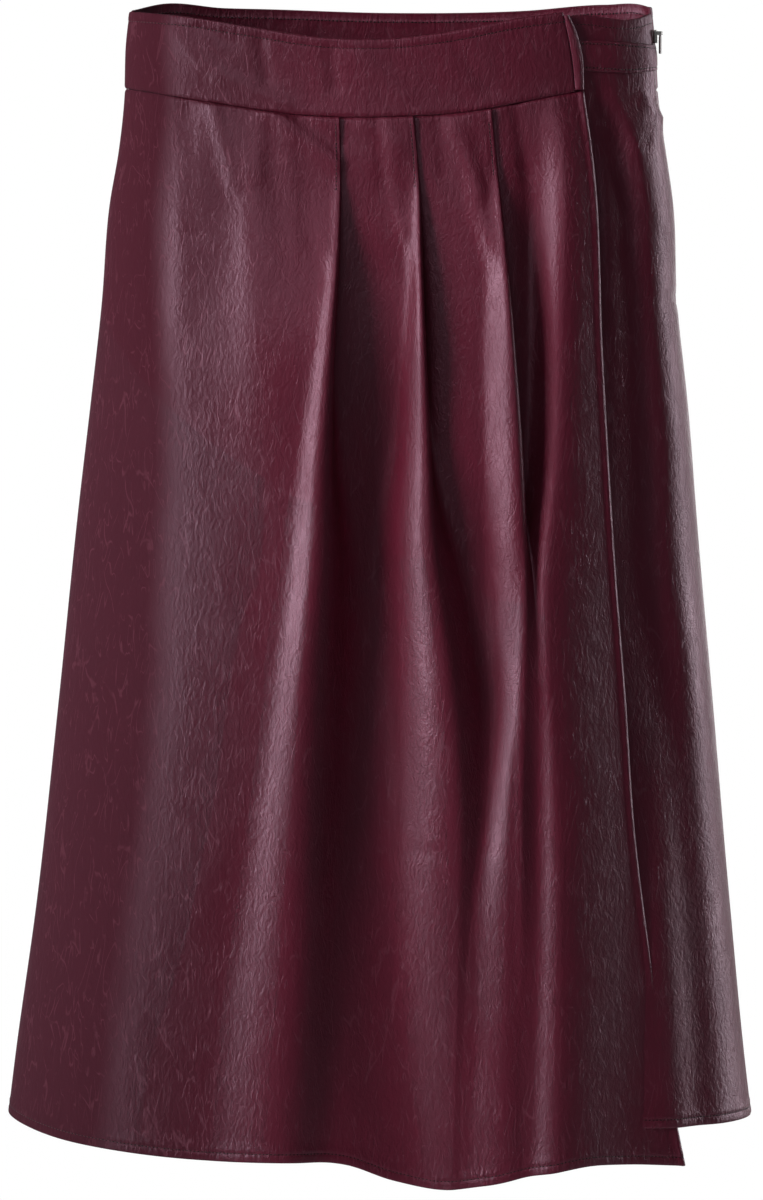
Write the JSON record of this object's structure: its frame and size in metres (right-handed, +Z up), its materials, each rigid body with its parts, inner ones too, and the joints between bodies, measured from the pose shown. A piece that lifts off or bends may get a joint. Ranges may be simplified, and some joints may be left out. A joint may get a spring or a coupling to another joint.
{
  "type": "leather wrap skirt",
  "caption": "Hollow midi wrap skirt in coated leather with edge-stitched pleats, a shaped waistband, a looped waist strap and a side zip whose pull tab swings.",
  "frame": {"origin": "the middle of the waist ring, halfway up the waistband, where a wearer holds the skirt", "axes": "+Z up, -Y towards the pleated front, +X towards the side with the zip"},
  "size_m": [0.497, 0.2071, 0.7737],
  "materials": {
    "overlay_leather": "semi-gloss coated leather with a fine crinkled grain",
    "underlay_leather": "semi-gloss coated leather with a fine crinkled grain",
    "back_leather": "semi-gloss coated leather with a fine crinkled grain",
    "waistband_leather": "semi-gloss coated leather, topstitched",
    "strap_leather": "semi-gloss coated leather, topstitched",
    "zip_tape_fabric": "matt woven tape",
    "slider_metal": "satin metal",
    "pull_paint": "semi-gloss paint"
  },
  "bodies": {
    "skirt": {"overlay_panel": "overlay_leather", "underlay_panel": "underlay_leather", "back_panel": "back_leather", "front_waistband": "waistband_leather", "back_waistband": "waistband_leather", "waist_strap": "strap_leather", "strap_loop": "strap_leather", "zip_tape": "zip_tape_fabric", "zip_slider": "slider_metal"},
    "pull_tab": {"zip_pull": "pull_paint"}
  },
  "joints": [
    {"name": "zip_pull_swing", "type": "hinge", "parent": "skirt", "child": "pull_tab", "pos_m": [0.17581, -0.00656, 0.0118], "axis": [-0.2499, -0.9683, 0], "range_deg": [0, 150]}
  ]
}
